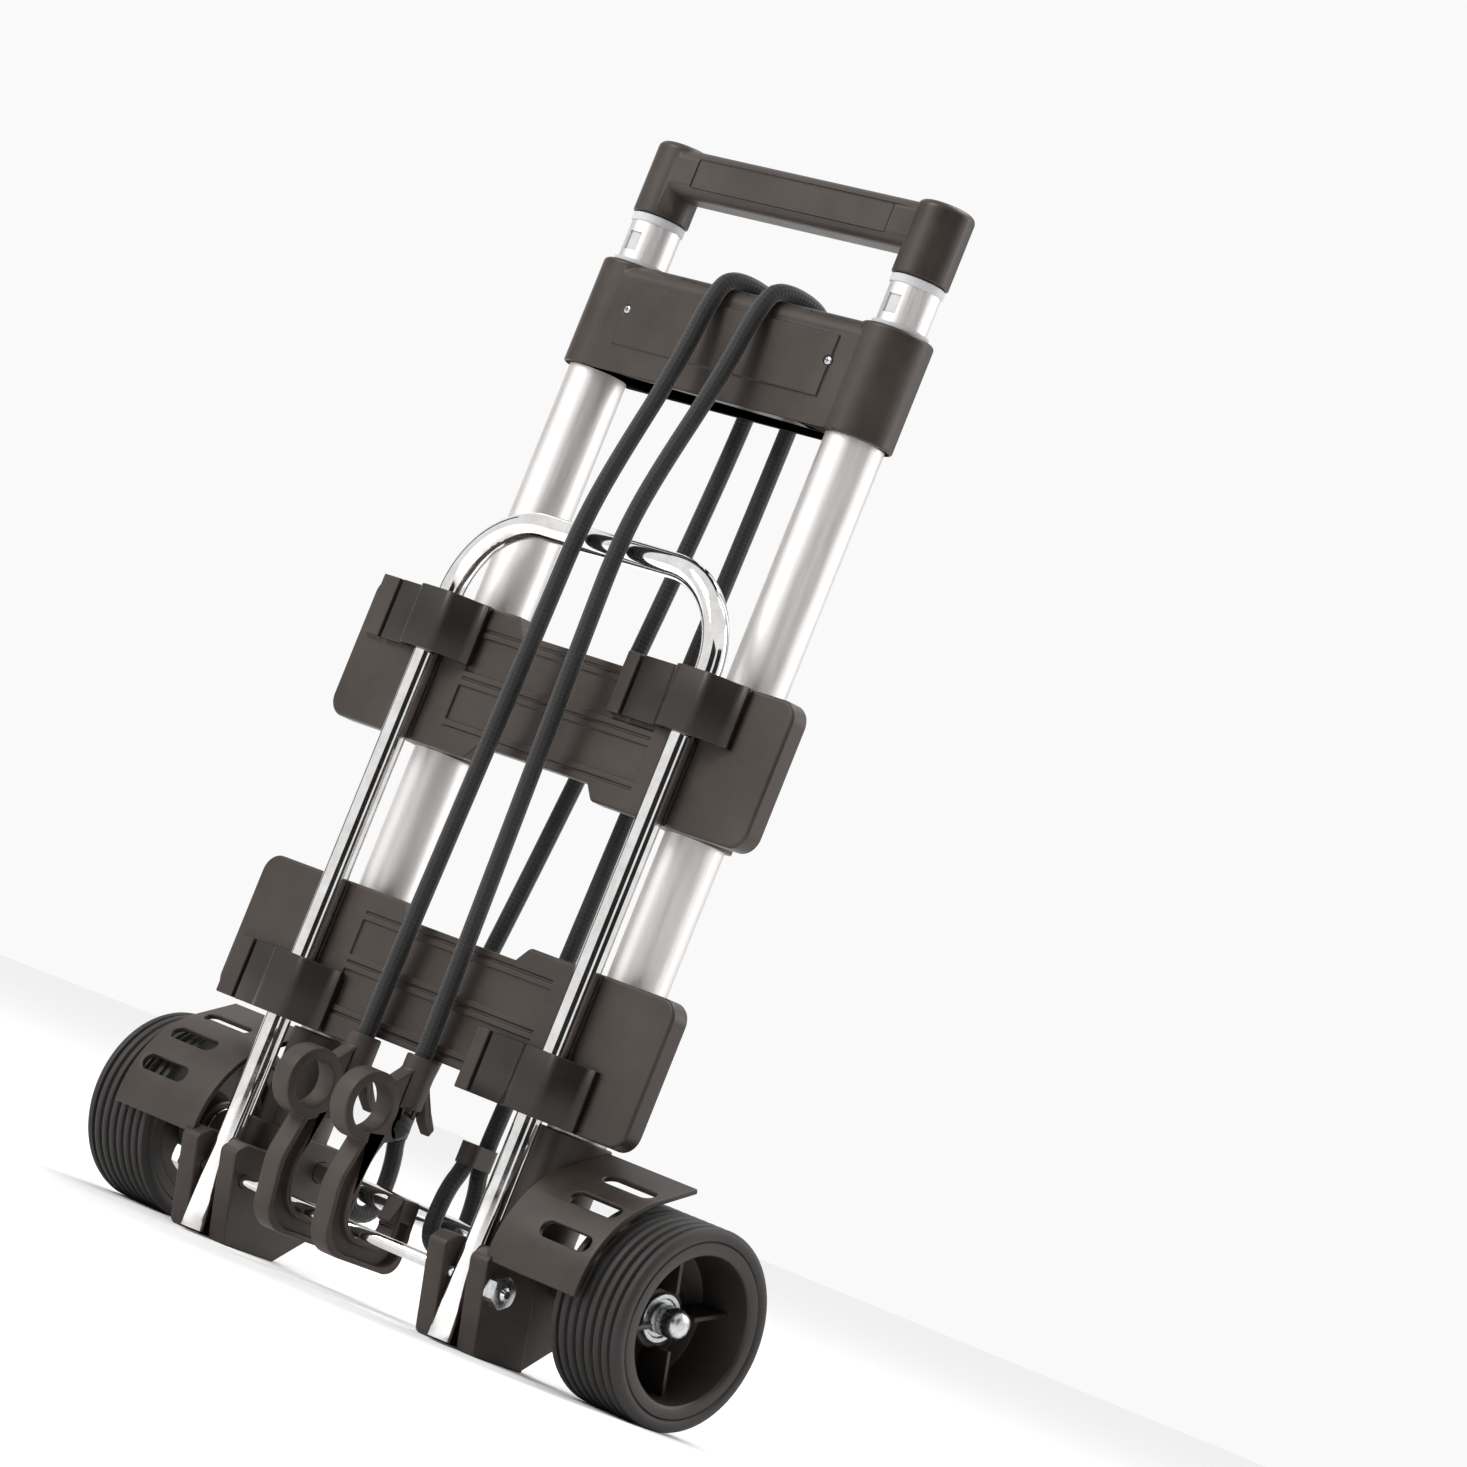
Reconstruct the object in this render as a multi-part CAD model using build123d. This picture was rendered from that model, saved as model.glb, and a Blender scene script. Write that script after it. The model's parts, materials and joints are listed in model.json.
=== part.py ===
from build123d import *
import math
import os

os.makedirs("parts", exist_ok=True)

# Folding luggage cart, stood upright and folded. Millimetres, +Z up along the tubes,
# X to the side, -Y to the front. The floor is Z = 0 and the middle of the depth is Y = 0.

# ---- driving dimensions -------------------------------------------------------------
TUBE_X = 83.0             # tube axes stand this far each side of the middle
TUBE_Y = -5.1
OUTER_R, OUTER_WALL = 14.0, 1.2
MIDDLE_R, MIDDLE_WALL = 12.0, 1.0
INNER_R, INNER_WALL = 10.0, 1.0
OUTER_Z = (53.0, 483.0)
MIDDLE_Z = (150.0, 505.0)
INNER_Z = (195.0, 538.0)
SLIDE_GAP = 0.3           # radial clearance between the telescoping stages
MIDDLE_TRAVEL = 290.0
INNER_TRAVEL = 270.0
WINDOW = (7.5, 9.0)       # catch window, width and height
MIDDLE_WINDOW_Z = 495.0   # window in the middle tube, seen below the grip
OUTER_WINDOW_Z = 455.0    # window in the outer tube, inside the upper cross piece

PLATE_Y = TUBE_Y - 28.9   # front face of the two lower cross pieces
PLATE_HALF = 136.3
PLATE_HIGH = 68.6
WEB_STEP = 7.3            # how much lower the web is than the ears, at each edge
LOWER_PIECE_Z = 104.5
MID_PIECE_Z = 242.6
SOCKET_R = 17.0
UPPER_SOCKET_R = 17.2
UPPER_Z = (432.5, 484.5)
UPPER_WEB_Y = (13.0, 45.0)  # from the plate's front face

ROD_R, ROD_WALL = 6.0, 1.5   # toe bar
ROD_X = 84.0
ROD_Y = PLATE_Y - 4.8
ROD_Z = (1.5, 352.5)
ROD_BEND_R = 42.0
PIVOT_Z = 30.0
PIVOT_R = 3.0
PIVOT_CLEARANCE = 0.1

WHEEL_R = 45.5
WHEEL_X = (137.0, 179.5)
RIM_R = 39.5
AXLE_R = 5.0
AXLE_Y = PLATE_Y + 38.4
AXLE_Z = WHEEL_R
HUB_X = (134.5, 158.0)

CHEEK_IN = (65.0, 76.0)   # inner cheek of the base block's clevis
CHEEK_OUT = (92.0, 103.0)

STRAP_HIGH = 28.6
STRAP_THICK = 3.2
CORD_R = 4.0
SIDES = (("left", -1), ("right", 1))


# ---- small shape helpers ------------------------------------------------------------
def box(x, y, z):
    """A box from three (low, high) pairs."""
    size = [high - low for low, high in (x, y, z)]
    middle = [(low + high) / 2 for low, high in (x, y, z)]
    return Pos(*middle) * Box(*size)


def upright(x, y, z, radius):
    """A cylinder along Z, between the two heights in z."""
    return Pos(x, y, sum(z) / 2) * Cylinder(radius, z[1] - z[0])


def crosswise(x, y, z, radius):
    """A cylinder along X, between the two places in x."""
    return Pos(sum(x) / 2, y, z) * Rot(0, 90, 0) * Cylinder(radius, x[1] - x[0])


def deep(x, y, z, radius):
    """A cylinder along Y, between the two places in y."""
    return Pos(x, sum(y) / 2, z) * Rot(90, 0, 0) * Cylinder(radius, y[1] - y[0])


def ring(x, radius_in, radius_out):
    """A ring round the axle line, between the two places in x."""
    return (crosswise(x, AXLE_Y, AXLE_Z, radius_out)
            - crosswise((x[0] - 1, x[1] + 1), AXLE_Y, AXLE_Z, radius_in))


def side_profile(points, x):
    """Extrude a closed outline given as (y, z) points between the two places in x."""
    face = make_face(Polyline(*[(x[0], y, z) for y, z in points], close=True))
    return extrude(face, amount=x[1] - x[0], dir=(1, 0, 0))


def shifted_corners(points, shift):
    """The corners of an open outline moved sideways by shift, with mitred corners."""
    moved = []
    for i, (u, v) in enumerate(points):
        normals = []
        for a, b in ((i - 1, i), (i, i + 1)):
            if a < 0 or b >= len(points):
                continue
            du, dv = points[b][0] - points[a][0], points[b][1] - points[a][1]
            length = math.hypot(du, dv)
            normals.append((-dv / length, du / length))
        nu = sum(n[0] for n in normals) / len(normals)
        nv = sum(n[1] for n in normals) / len(normals)
        reach = shift / (nu * nu + nv * nv)
        moved.append((u + nu * reach, v + nv * reach))
    return moved


def strip_face(points, radii, thick, to_space):
    """A bent strip: an open centre line with rounded corners, given its thickness."""
    edges = []
    for shift in (thick / 2, -thick / 2):
        corners = shifted_corners(points, shift)
        turned = []
        for i, radius in enumerate(radii):
            (au, av), (bu, bv), (cu, cv) = points[i], points[i + 1], points[i + 2]
            turn = (bu - au) * (cv - bv) - (bv - av) * (cu - bu)
            turned.append(radius - math.copysign(shift, turn))
        edges.append(([to_space(*p) for p in corners], turned))
    sides = [FilletPolyline(*corners, radius=radii_here) for corners, radii_here in edges]
    ends = [Line(sides[0] @ 0, sides[1] @ 0), Line(sides[0] @ 1, sides[1] @ 1)]
    return make_face(Wire(sides[0].edges() + sides[1].edges() + [end.edge() for end in ends]))


def mirrored(shape):
    return mirror(shape, about=Plane.YZ)


def save(shape, node):
    """Write one node's STEP file."""
    export_step(shape, "parts/" + node + ".step")


# ---- telescoping tubes --------------------------------------------------------------
def tube(radius, wall, z):
    return upright(TUBE_X, TUBE_Y, z, radius) - upright(TUBE_X, TUBE_Y, (z[0] - 1, z[1] + 1), radius - wall)


def window(z, width, height, radius):
    """A cutter for a square hole through the front wall of a tube."""
    return box((TUBE_X - width / 2, TUBE_X + width / 2),
               (TUBE_Y - radius - 1, TUBE_Y - radius / 2),
               (z - height / 2, z + height / 2))


def catch(z, tube_r, reach):
    """A square catch button: it stands reach proud of its tube and slides in."""
    button = box((TUBE_X - 3.4, TUBE_X + 3.4), (TUBE_Y - tube_r - reach - 1, TUBE_Y - 3), (z - 4, z + 4))
    return button & upright(TUBE_X, TUBE_Y, (z - 5, z + 5), tube_r + reach)


def foot(tube_r, wall, z_bottom, z_tube, z_catch, flange_r):
    """The plastic plug in a tube's lower end, which guides it and holds its catch."""
    body = upright(TUBE_X, TUBE_Y, (z_tube, z_catch + 12), tube_r - wall)
    body += upright(TUBE_X, TUBE_Y, (z_bottom, z_tube), flange_r)
    pocket = box((TUBE_X - 3.8, TUBE_X + 3.8), (TUBE_Y - tube_r, TUBE_Y + 1), (z_catch - 4.4, z_catch + 4.4))
    return body - pocket


outer_bore = OUTER_R - OUTER_WALL
middle_bore = MIDDLE_R - MIDDLE_WALL
middle_catch_z = OUTER_WINDOW_Z - MIDDLE_TRAVEL
inner_catch_z = MIDDLE_WINDOW_Z - INNER_TRAVEL
hole_wide, hole_high = WINDOW

outer_tube = tube(OUTER_R, OUTER_WALL, OUTER_Z) - window(OUTER_WINDOW_Z, hole_wide, hole_high, OUTER_R)

middle_tube = tube(MIDDLE_R, MIDDLE_WALL, MIDDLE_Z)
middle_tube -= window(MIDDLE_WINDOW_Z, hole_wide, hole_high, MIDDLE_R)
middle_tube -= window(middle_catch_z, 7.4, 8.6, MIDDLE_R)

inner_tube = tube(INNER_R, INNER_WALL, INNER_Z) - window(inner_catch_z, 7.4, 8.6, INNER_R)

# bush at the outer tube's mouth, which the middle tube runs in
outer_bush = upright(TUBE_X, TUBE_Y, (468, 486.5), outer_bore) + upright(TUBE_X, TUBE_Y, (483, 486.5), OUTER_R - 0.4)
outer_bush -= upright(TUBE_X, TUBE_Y, (460, 490), MIDDLE_R + SLIDE_GAP)

# collar pressed in the middle tube's mouth, which the inner tube runs in
collar = upright(TUBE_X, TUBE_Y, (490, 505), middle_bore) + upright(TUBE_X, TUBE_Y, (505, 509), MIDDLE_R + 0.7)
collar = fillet(collar.edges().group_by(Axis.Z)[-1], 0.8)
collar -= upright(TUBE_X, TUBE_Y, (480, 512), INNER_R + SLIDE_GAP)

middle_foot = foot(MIDDLE_R, MIDDLE_WALL, 143, MIDDLE_Z[0], middle_catch_z, outer_bore - SLIDE_GAP)
inner_foot = foot(INNER_R, INNER_WALL, 188, INNER_Z[0], inner_catch_z, middle_bore - SLIDE_GAP)
middle_catch = catch(middle_catch_z, MIDDLE_R, 0.5)
inner_catch = catch(inner_catch_z, INNER_R, 0.7)

for side, sign in SIDES:
    pieces = {"outer_tube": outer_tube, "middle_tube": middle_tube, "inner_tube": inner_tube,
              "outer_bush": outer_bush, "collar": collar, "middle_foot": middle_foot,
              "inner_foot": inner_foot, "middle_catch": middle_catch, "inner_catch": inner_catch}
    for name, piece in pieces.items():
        save(piece if sign > 0 else mirrored(piece), name + "_" + side)


# ---- grip: two moulded half shells on the inner tubes -------------------------------
GRIP_Z = (509.4, 544.8)
GRIP_SOCKET_R = 13.5
GRIP_BAR_Z = (521.0, 543.4)
GRIP_BAR_DEEP = 23.0
GRIP_WALL = 2.6

bar_high = GRIP_BAR_Z[1] - GRIP_BAR_Z[0]
bar_section = Plane.YZ.offset(-TUBE_X) * Pos(TUBE_Y, sum(GRIP_BAR_Z) / 2) * RectangleRounded(GRIP_BAR_DEEP, bar_high, 6)
grip = extrude(bar_section, amount=2 * TUBE_X)
hollow_section = Plane.YZ.offset(-TUBE_X + 16) * Pos(TUBE_Y, sum(GRIP_BAR_Z) / 2) * RectangleRounded(
    GRIP_BAR_DEEP - 2 * GRIP_WALL, bar_high - 2 * GRIP_WALL, 3.5)
hollow = extrude(hollow_section, amount=2 * TUBE_X - 32)
screw_x = (-45, 45)
posts = [deep(x, (TUBE_Y - 10, TUBE_Y + 10), sum(GRIP_BAR_Z) / 2, 3.6) for x in screw_x]
for sign in (-1, 1):
    socket = upright(sign * TUBE_X, TUBE_Y, GRIP_Z, GRIP_SOCKET_R)
    socket = fillet(socket.edges().group_by(Axis.Z)[-1], 3.5)
    socket = fillet(socket.edges().group_by(Axis.Z)[0], 0.8)
    grip += socket
grip -= hollow
for post in posts:
    grip += post
for sign in (-1, 1):
    grip -= upright(sign * TUBE_X, TUBE_Y, (500, INNER_Z[1]), INNER_R)
front_half = box((-120, 120), (TUBE_Y - 30, TUBE_Y), (490, 560))
grip_front = grip & front_half
grip_back = grip - front_half
# shallow inset panel along the front of the bar
inset = box((-62, 62), (TUBE_Y - 13, TUBE_Y - GRIP_BAR_DEEP / 2 + 0.6), (GRIP_BAR_Z[0] + 4.4, GRIP_BAR_Z[1] - 4.4))
grip_front -= inset
grip_screws = []
for x in screw_x:
    grip_back -= deep(x, (TUBE_Y + 8.5, TUBE_Y + 12), sum(GRIP_BAR_Z) / 2, 3.1)
    screw = deep(x, (TUBE_Y + 8.6, TUBE_Y + 10.6), sum(GRIP_BAR_Z) / 2, 3.0)
    screw += deep(x, (TUBE_Y - 7, TUBE_Y + 8.6), sum(GRIP_BAR_Z) / 2, 1.5)
    grip_screws.append(screw)
    grip_front -= deep(x, (TUBE_Y - 7, TUBE_Y + 1), sum(GRIP_BAR_Z) / 2, 1.5)
    grip_back -= deep(x, (TUBE_Y - 1, TUBE_Y + 9), sum(GRIP_BAR_Z) / 2, 1.5)
save(grip_front, "grip_front")
save(grip_back, "grip_back")
save(Compound(grip_screws), "grip_screws")


# ---- upper cross piece: two sockets joined by a hollow web, open below ---------------
web_front, web_back = [PLATE_Y + y for y in UPPER_WEB_Y]
web_mid_y = (web_front + web_back) / 2
web_deep = web_back - web_front
web_section = Plane.YZ.offset(-TUBE_X) * Pos(web_mid_y, sum(UPPER_Z) / 2) * Rectangle(web_deep, UPPER_Z[1] - UPPER_Z[0])
web_section = fillet(web_section.vertices().group_by(Axis.Z)[-1], 8)
upper = extrude(web_section, amount=2 * TUBE_X)
panel_x = 66.0
upper += box((-panel_x, panel_x), (web_front - 1.2, web_front + 2), (445, 474.5))
upper -= box((-58, 58), (web_front + 2.6, web_back - 2.6), (UPPER_Z[0] - 1, UPPER_Z[1] - 3))
for x in (-40, 0, 40):
    upper += box((x - 1, x + 1), (web_front + 2, web_back - 2), (UPPER_Z[0] + 6, UPPER_Z[1] - 2))
for sign in (-1, 1):
    socket = upright(sign * TUBE_X, TUBE_Y, UPPER_Z, UPPER_SOCKET_R)
    socket = fillet(socket.edges().group_by(Axis.Z)[-1], 2.0)
    socket = fillet(socket.edges().group_by(Axis.Z)[0], 1.0)
    upper += socket
for sign in (-1, 1):
    upper -= upright(sign * TUBE_X, TUBE_Y, (UPPER_Z[0] - 1, UPPER_Z[1] - 1.4), OUTER_R)
    upper -= upright(sign * TUBE_X, TUBE_Y, (UPPER_Z[0] - 1, UPPER_Z[1] + 1), OUTER_R - 0.4)
upper_screws = []
for sign in (-1, 1):
    place = Pos(sign * 64.5, web_front, 462)
    upper -= place * Rot(90, 0, 0) * Cylinder(2.2, 3)
    upper_screws.append(place * Rot(90, 0, 0) * Cylinder(2.1, 1.8))
save(upper, "upper_cross_piece")
save(Compound(upper_screws), "upper_screws")


# ---- mid and lower cross pieces -----------------------------------------------------
SLIT_FROM_ROD = {"left": 36.0, "right": 43.0}   # the clip's slit, to the left of its rod
PAD_WIDE = {"left": 11.0, "right": 8.0}
PLATE_THICK = 3.5
RIM_DEEP = 10.0
EAR_IN = 42.0             # where the taller ear begins
EAR_CORNER_R = 9.0


def cross_outline(shrink):
    """Outline of a cross piece as seen from the front, with its lower edge at Z = 0."""
    low, high = shrink, PLATE_HIGH - shrink
    web_low, web_high = WEB_STEP + shrink, PLATE_HIGH - WEB_STEP - shrink
    half = PLATE_HALF - shrink
    ear, web = EAR_IN, EAR_IN - 6
    right = [(web, web_low), (ear, low), (half, low), (half, high), (ear, high), (web, web_high)]
    left = [(-x, z) for x, z in reversed(right)]
    return Polyline(*[(x, 0, z) for x, z in right + left], close=True)


def cross_body(shrink, y):
    face = make_face(cross_outline(shrink))
    slab = extrude(face, amount=y[1] - y[0], dir=(0, 1, 0))
    corners = [e for e in slab.edges().filter_by(Axis.Y) if abs(e.center().X) > PLATE_HALF - shrink - 1]
    return Pos(0, PLATE_Y + y[0], 0) * fillet(corners, EAR_CORNER_R - shrink)


def cross_piece(strap_z):
    """A cross piece with its lower edge at Z = 0; strap_z is where its clip pads are."""
    piece = cross_body(0, (0, RIM_DEEP))
    front_edges = [e for e in piece.edges().group_by(Axis.Y)[0] if abs(e.center().X) > EAR_IN]
    piece = fillet(front_edges, 1.6)
    piece -= cross_body(3.0, (PLATE_THICK, RIM_DEEP + 1))
    for sign in (-1, 1):
        x = sign * TUBE_X
        piece += upright(x, TUBE_Y, (0, PLATE_HIGH), SOCKET_R)
        piece += box((x - 14, x + 14), (PLATE_Y + 2, TUBE_Y - 6), (0, PLATE_HIGH))
    for z in (WEB_STEP + 8, PLATE_HIGH / 2, PLATE_HIGH - WEB_STEP - 8):
        piece += box((-70, 70), (PLATE_Y + 2, PLATE_Y + RIM_DEEP), (z - 1, z + 1))
    for sign in (-1, 1):
        piece -= upright(sign * TUBE_X, TUBE_Y, (-1, PLATE_HIGH + 1), OUTER_R)
        piece -= upright(sign * ROD_X, ROD_Y, (-1, PLATE_HIGH + 1), ROD_R + 1.6)
    # three raised bands run across the web, each with a fine groove along it
    bands = (WEB_STEP, PLATE_HIGH / 2 - 3.5, PLATE_HIGH - WEB_STEP - 7)
    for low, high in ((bands[0] + 7, bands[1]), (bands[1] + 7, bands[2])):
        piece -= box((-62, 62), (PLATE_Y - 1, PLATE_Y + 1.3), (low, high))
    for z in bands:
        piece -= box((-62, 62), (PLATE_Y - 1, PLATE_Y + 0.9), (z + 2.9, z + 4.1))
    for side, sign in SIDES:
        slit = sign * ROD_X - SLIT_FROM_ROD[side]
        piece += box((slit - PAD_WIDE[side], slit), (PLATE_Y - 3.4, PLATE_Y + 2), strap_z)
    return piece


def strap(side, sign):
    """A spring clip moulded in the cross piece: a free lip, a hump over the toe bar, a root."""
    x = sign * ROD_X
    lip_y = PLATE_Y - STRAP_THICK / 2 - 0.3
    top_y = ROD_Y - ROD_R - 0.4 - STRAP_THICK / 2
    root_y = PLATE_Y - STRAP_THICK / 2
    line = [(x - SLIT_FROM_ROD[side] + 2.2, lip_y), (x - 18, lip_y), (x - 9.4, top_y),
            (x + 9.4, top_y), (x + 20.5, root_y), (x + 25, root_y)]
    face = strip_face(line, [6, 8.5, 8.5, 5], STRAP_THICK, lambda u, v: (u, v, 0))
    band = extrude(face, amount=STRAP_HIGH, dir=(0, 0, 1))
    return band


CROSS_PIECES = (("mid", MID_PIECE_Z, (PLATE_HIGH - STRAP_HIGH, PLATE_HIGH)),
                ("lower", LOWER_PIECE_Z, (0, STRAP_HIGH)))
for level, base_z, strap_z in CROSS_PIECES:
    save(Pos(0, 0, base_z) * cross_piece(strap_z), level + "_cross_piece")
    for side, sign in SIDES:
        save(Pos(0, 0, base_z + strap_z[0]) * strap(side, sign), level + "_strap_" + side)
    screws = []
    for sign in (-1, 1):
        for z in (14, PLATE_HIGH - 14):
            place = (sign * TUBE_X, (TUBE_Y + SOCKET_R, TUBE_Y + SOCKET_R + 1.8), base_z + z, 3.4)
            screws.append(deep(*place))
    save(Compound(screws), level + "_screws")


# ---- base blocks: clevis for the toe bar, sleeve for the tube, boss for the axle -----
# profile points below are measured from the plates' front face, PLATE_Y
CHEEK_OUTLINE = [(-2, 0), (-15.9, 41), (-10, 46), (12, 46), (18, 41), (31, 0)]
CORE_OUTLINE = [(9, 0), (31, 0), (48, 15), (50.5, 44), (48, 58), (9, 58)]
SLOT_X = (CHEEK_IN[1], CHEEK_OUT[0])
STUB_SWEEP_R = 30.5       # the toe bar's lower end swings back inside the clevis
BOSS_R = 11.0

cheek_points = [(PLATE_Y + y, z) for y, z in CHEEK_OUTLINE]
core_points = [(PLATE_Y + y, z) for y, z in CORE_OUTLINE]
block = side_profile(core_points, (CHEEK_IN[0], CHEEK_OUT[1] - 1.5))
for x in (CHEEK_IN, CHEEK_OUT):
    cheek = side_profile(cheek_points, x)
    crown = [e for e in cheek.edges().filter_by(Axis.X) if 38 < e.center().Z < 50]
    toe = [e for e in cheek.edges().filter_by(Axis.X) if e.center().Z < 1 and e.center().Y < PLATE_Y]
    block += fillet(crown + toe, 3.5)
block += upright(TUBE_X, TUBE_Y, (40, 103.4), SOCKET_R)
block += crosswise((CHEEK_OUT[1] - 5, HUB_X[0] - 1.2), AXLE_Y, AXLE_Z, BOSS_R)
block -= upright(TUBE_X, TUBE_Y, (OUTER_Z[0], 110), OUTER_R)
block -= box(SLOT_X, (PLATE_Y - 30, ROD_Y + STUB_SWEEP_R), (-1, PIVOT_Z + ROD_R + 0.4))
block -= box(SLOT_X, (PLATE_Y - 30, PLATE_Y + 5), (-1, 60))
block -= crosswise((50, 150), ROD_Y, PIVOT_Z, PIVOT_R)
block -= crosswise((50, 150), AXLE_Y, AXLE_Z, AXLE_R)

# fender: a bent plate over the front of the wheel, with three oblong slots
FENDER_X = (99.0, 155.0)
FENDER_THICK = 2.5
FENDER_R = 51.0
FENDER_SLOT_X = 135.0
front_y = AXLE_Y - FENDER_R
fender_line = [(front_y, 41.0), (front_y, 76.1), (PLATE_Y + 35, 101.4)]
fender_face = strip_face(fender_line, [FENDER_R], FENDER_THICK, lambda u, v: (FENDER_X[0], u, v))
fender = extrude(fender_face, amount=FENDER_X[1] - FENDER_X[0], dir=(1, 0, 0))
for angle in (160, 138, 116):
    reach = FENDER_R + (0 if angle > 120 else 2)
    y = AXLE_Y + reach * math.cos(math.radians(angle))
    z = AXLE_Z + reach * math.sin(math.radians(angle))
    slot = extrude(Pos(FENDER_SLOT_X, 0) * SlotOverall(30, 8), amount=6, both=True)
    fender -= Pos(0, y, z) * Rot(angle - 90, 0, 0) * slot
fender -= upright(TUBE_X, TUBE_Y, (20, 120), SOCKET_R)
fender -= side_profile(core_points, (CHEEK_IN[0], CHEEK_OUT[1] - 1.5))
fender -= side_profile(cheek_points, CHEEK_OUT)
fender = max(fender.solids(), key=lambda s: s.volume)

sleeve_screw = deep(TUBE_X, (TUBE_Y + SOCKET_R, TUBE_Y + SOCKET_R + 1.8), 90, 3.4)
save(block, "base_block_right")
save(mirrored(block), "base_block_left")
save(fender, "fender_right")
save(mirrored(fender), "fender_left")
save(Compound([sleeve_screw, mirrored(sleeve_screw)]), "block_screws")


# ---- pivot bolt and axle ------------------------------------------------------------
BOLT_ACROSS_FLATS = 13.0
NUT_THICK = 6.5
bolt_end = CHEEK_OUT[1]


def hexagon(x):
    """A hexagon prism on the pivot line, between the two places in x."""
    face = Plane.YZ.offset(x[0]) * Pos(ROD_Y, PIVOT_Z) * RegularPolygon(BOLT_ACROSS_FLATS / 2, 6, major_radius=False)
    return extrude(face, amount=x[1] - x[0])


pivot_bolt = crosswise((-bolt_end, bolt_end + NUT_THICK + 1.5), ROD_Y, PIVOT_Z, PIVOT_R)
pivot_bolt += hexagon((-bolt_end - 5, -bolt_end))
pivot_nut = hexagon((bolt_end, bolt_end + NUT_THICK)) - crosswise((bolt_end - 1, bolt_end + 9), ROD_Y, PIVOT_Z, PIVOT_R)
save(pivot_bolt, "pivot_bolt")
save(pivot_nut, "pivot_nut")

axle_end = HUB_X[1] + 6
save(crosswise((-axle_end, axle_end), AXLE_Y, AXLE_Z, AXLE_R), "axle")
inner_washer = ring((HUB_X[0] - 1.2, HUB_X[0] - 0.3), AXLE_R, 11)
outer_washer = ring((HUB_X[1] + 0.3, HUB_X[1] + 1.8), AXLE_R, 11)
washers = [inner_washer, outer_washer, mirrored(inner_washer), mirrored(outer_washer)]
save(Compound(washers), "axle_washers")
cap = crosswise((HUB_X[1] + 1.8, HUB_X[1] + 15), AXLE_Y, AXLE_Z, 6.8)
cap = fillet(cap.edges().group_by(Axis.X)[-1], 3.5)
cap -= crosswise((HUB_X[1], axle_end), AXLE_Y, AXLE_Z, AXLE_R)
save(Compound([cap, mirrored(cap)]), "axle_caps")


# ---- wheels: tyre, rim with hub, bush -----------------------------------------------
GROOVES = 7
GROOVE_DEEP, GROOVE_WIDE = 1.3, 1.5
tyre = ring(WHEEL_X, RIM_R, WHEEL_R)
tyre = fillet([e for e in tyre.edges() if e.geom_type == GeomType.CIRCLE and e.radius > WHEEL_R - 0.1], 2.5)
pitch = (WHEEL_X[1] - WHEEL_X[0]) / (GROOVES + 1)
for i in range(GROOVES):
    x = WHEEL_X[0] + pitch * (i + 1)
    tyre -= ring((x - GROOVE_WIDE / 2, x + GROOVE_WIDE / 2), WHEEL_R - GROOVE_DEEP, WHEEL_R + 5)

BOSS_HUB_R = 14.0
BUSH_R = 8.0
WEB_X = (147.0, 151.0)
rim = ring((WHEEL_X[0] + 1, WHEEL_X[1] - 0.6), 33.0, RIM_R)
rim += ring(WEB_X, BUSH_R, 34.0)
rim += ring(HUB_X, BUSH_R, BOSS_HUB_R)
for quarter in range(4):
    rib = box((WEB_X[1] - 1, WHEEL_X[1] - 12), (-1.1, 1.1), (BOSS_HUB_R - 2, 34))
    rim += Pos(0, AXLE_Y, AXLE_Z) * Rot(90 * quarter + 20, 0, 0) * rib
rim -= crosswise((120, 190), AXLE_Y, AXLE_Z, BUSH_R)
bush = ring(HUB_X, AXLE_R + PIVOT_CLEARANCE, BUSH_R)
for side, sign in SIDES:
    for name, piece in (("tyre", tyre), ("rim", rim), ("wheel_bush", bush)):
        save(piece if sign > 0 else mirrored(piece), name + "_" + side)


# ---- toe bar: a chromed tube bent to a U ---------------------------------------------
low, high = ROD_Z
u_line = FilletPolyline((-ROD_X, ROD_Y, low), (-ROD_X, ROD_Y, high), (ROD_X, ROD_Y, high), (ROD_X, ROD_Y, low),
                        radius=ROD_BEND_R)
rod_start = Plane(u_line @ 0, z_dir=u_line % 0)
toe_bar = sweep(rod_start * Circle(ROD_R), path=u_line) - sweep(rod_start * Circle(ROD_R - ROD_WALL), path=u_line)
toe_bar -= crosswise((-120, 120), ROD_Y, PIVOT_Z, PIVOT_R + PIVOT_CLEARANCE)
save(toe_bar, "toe_bar")


# ---- cord hooks: finger ring, cord socket and J hook over the pivot bolt ------------
HOOK_X = {"left": -28.0, "right": 11.0}
HOOK_HALF = 5.5           # half the width of ring and J
FINGER_RING = (-28.0, 83.0)   # from the plate's front face, and above the floor
RING_R_OUT, RING_R_IN = 16.0, 11.0
SOCKET_AXIS_Y = -4.6
CORD_SOCKET_Z = (88.0, 111.0)
J_LINE = [(-19, 72), (-24.5, 47), (-19.5, 21.1), (19.5, 21.1), (17.5, 50)]
J_BENDS = [30, 19, 14]
J_THICK = 11.0
RECESS_DEEP = 3.4
KNOT_Z, KNOT_R = 79.0, 6.6    # the cord ends in a knot below its socket


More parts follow.
